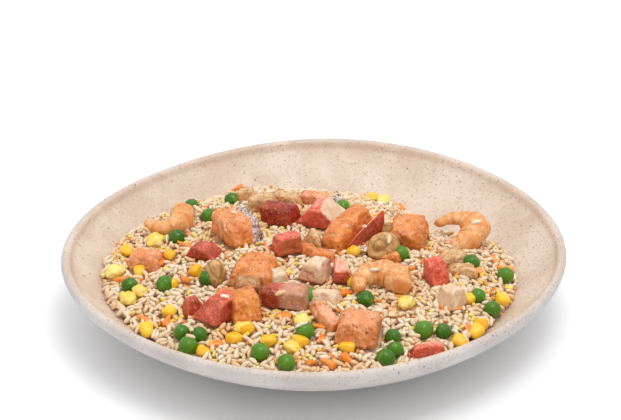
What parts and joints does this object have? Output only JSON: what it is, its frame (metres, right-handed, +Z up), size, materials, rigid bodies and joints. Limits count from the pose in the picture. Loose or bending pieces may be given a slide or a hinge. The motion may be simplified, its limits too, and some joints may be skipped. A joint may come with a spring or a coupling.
{
  "type": "bowl of seafood pilaf",
  "caption": "Wide shallow stoneware bowl filled with a low mound of rice pilaf, with chunks of salmon, crab stick, shrimp, mussel and white fish, peas, sweetcorn, carrot and egg.",
  "frame": {"origin": "on the surface the bowl stands on, under the middle of its outline", "axes": "+Z up, -Y towards the viewer of the picture, +X to the viewer's right"},
  "size_m": [0.27, 0.265, 0.0539],
  "materials": {
    "bowl": "satin cream glaze with fine dark specks",
    "rice": "cooked rice, slightly glossy, with peas, sweetcorn, carrot and egg in it",
    "salmon": "cooked flaky orange-pink flesh, browned at the edges",
    "crab_stick": "coral-red skin over cream fibrous flesh",
    "shrimp": "cooked golden-peach flesh, glossy",
    "mussel": "moist beige meat with darker lines",
    "fish": "pale flaky flesh with tan edges"
  },
  "bodies": {
    "root": {"bowl": "bowl", "rice": "rice", "salmon_1": "salmon", "salmon_2": "salmon", "salmon_3": "salmon", "salmon_4": "salmon", "salmon_5": "salmon", "salmon_6": "salmon", "salmon_7": "salmon", "salmon_8": "salmon", "salmon_9": "salmon", "salmon_10": "salmon", "salmon_11": "salmon", "salmon_12": "salmon", "crab_stick_1": "crab_stick", "crab_stick_2": "crab_stick", "crab_stick_3": "crab_stick", "crab_stick_4": "crab_stick", "crab_stick_5": "crab_stick", "crab_stick_6": "crab_stick", "crab_stick_7": "crab_stick", "crab_stick_8": "crab_stick", "crab_stick_9": "crab_stick", "crab_stick_10": "crab_stick", "crab_stick_11": "crab_stick", "crab_stick_12": "crab_stick", "crab_stick_13": "crab_stick", "crab_stick_14": "crab_stick", "crab_stick_15": "crab_stick", "shrimp_1": "shrimp", "shrimp_2": "shrimp", "shrimp_3": "shrimp", "mussel_1": "mussel", "mussel_2": "mussel", "mussel_3": "mussel", "fish_1": "fish", "fish_2": "fish", "fish_3": "fish", "fish_4": "fish", "fish_5": "fish", "fish_6": "fish", "fish_7": "fish"}
  },
  "joints": []
}
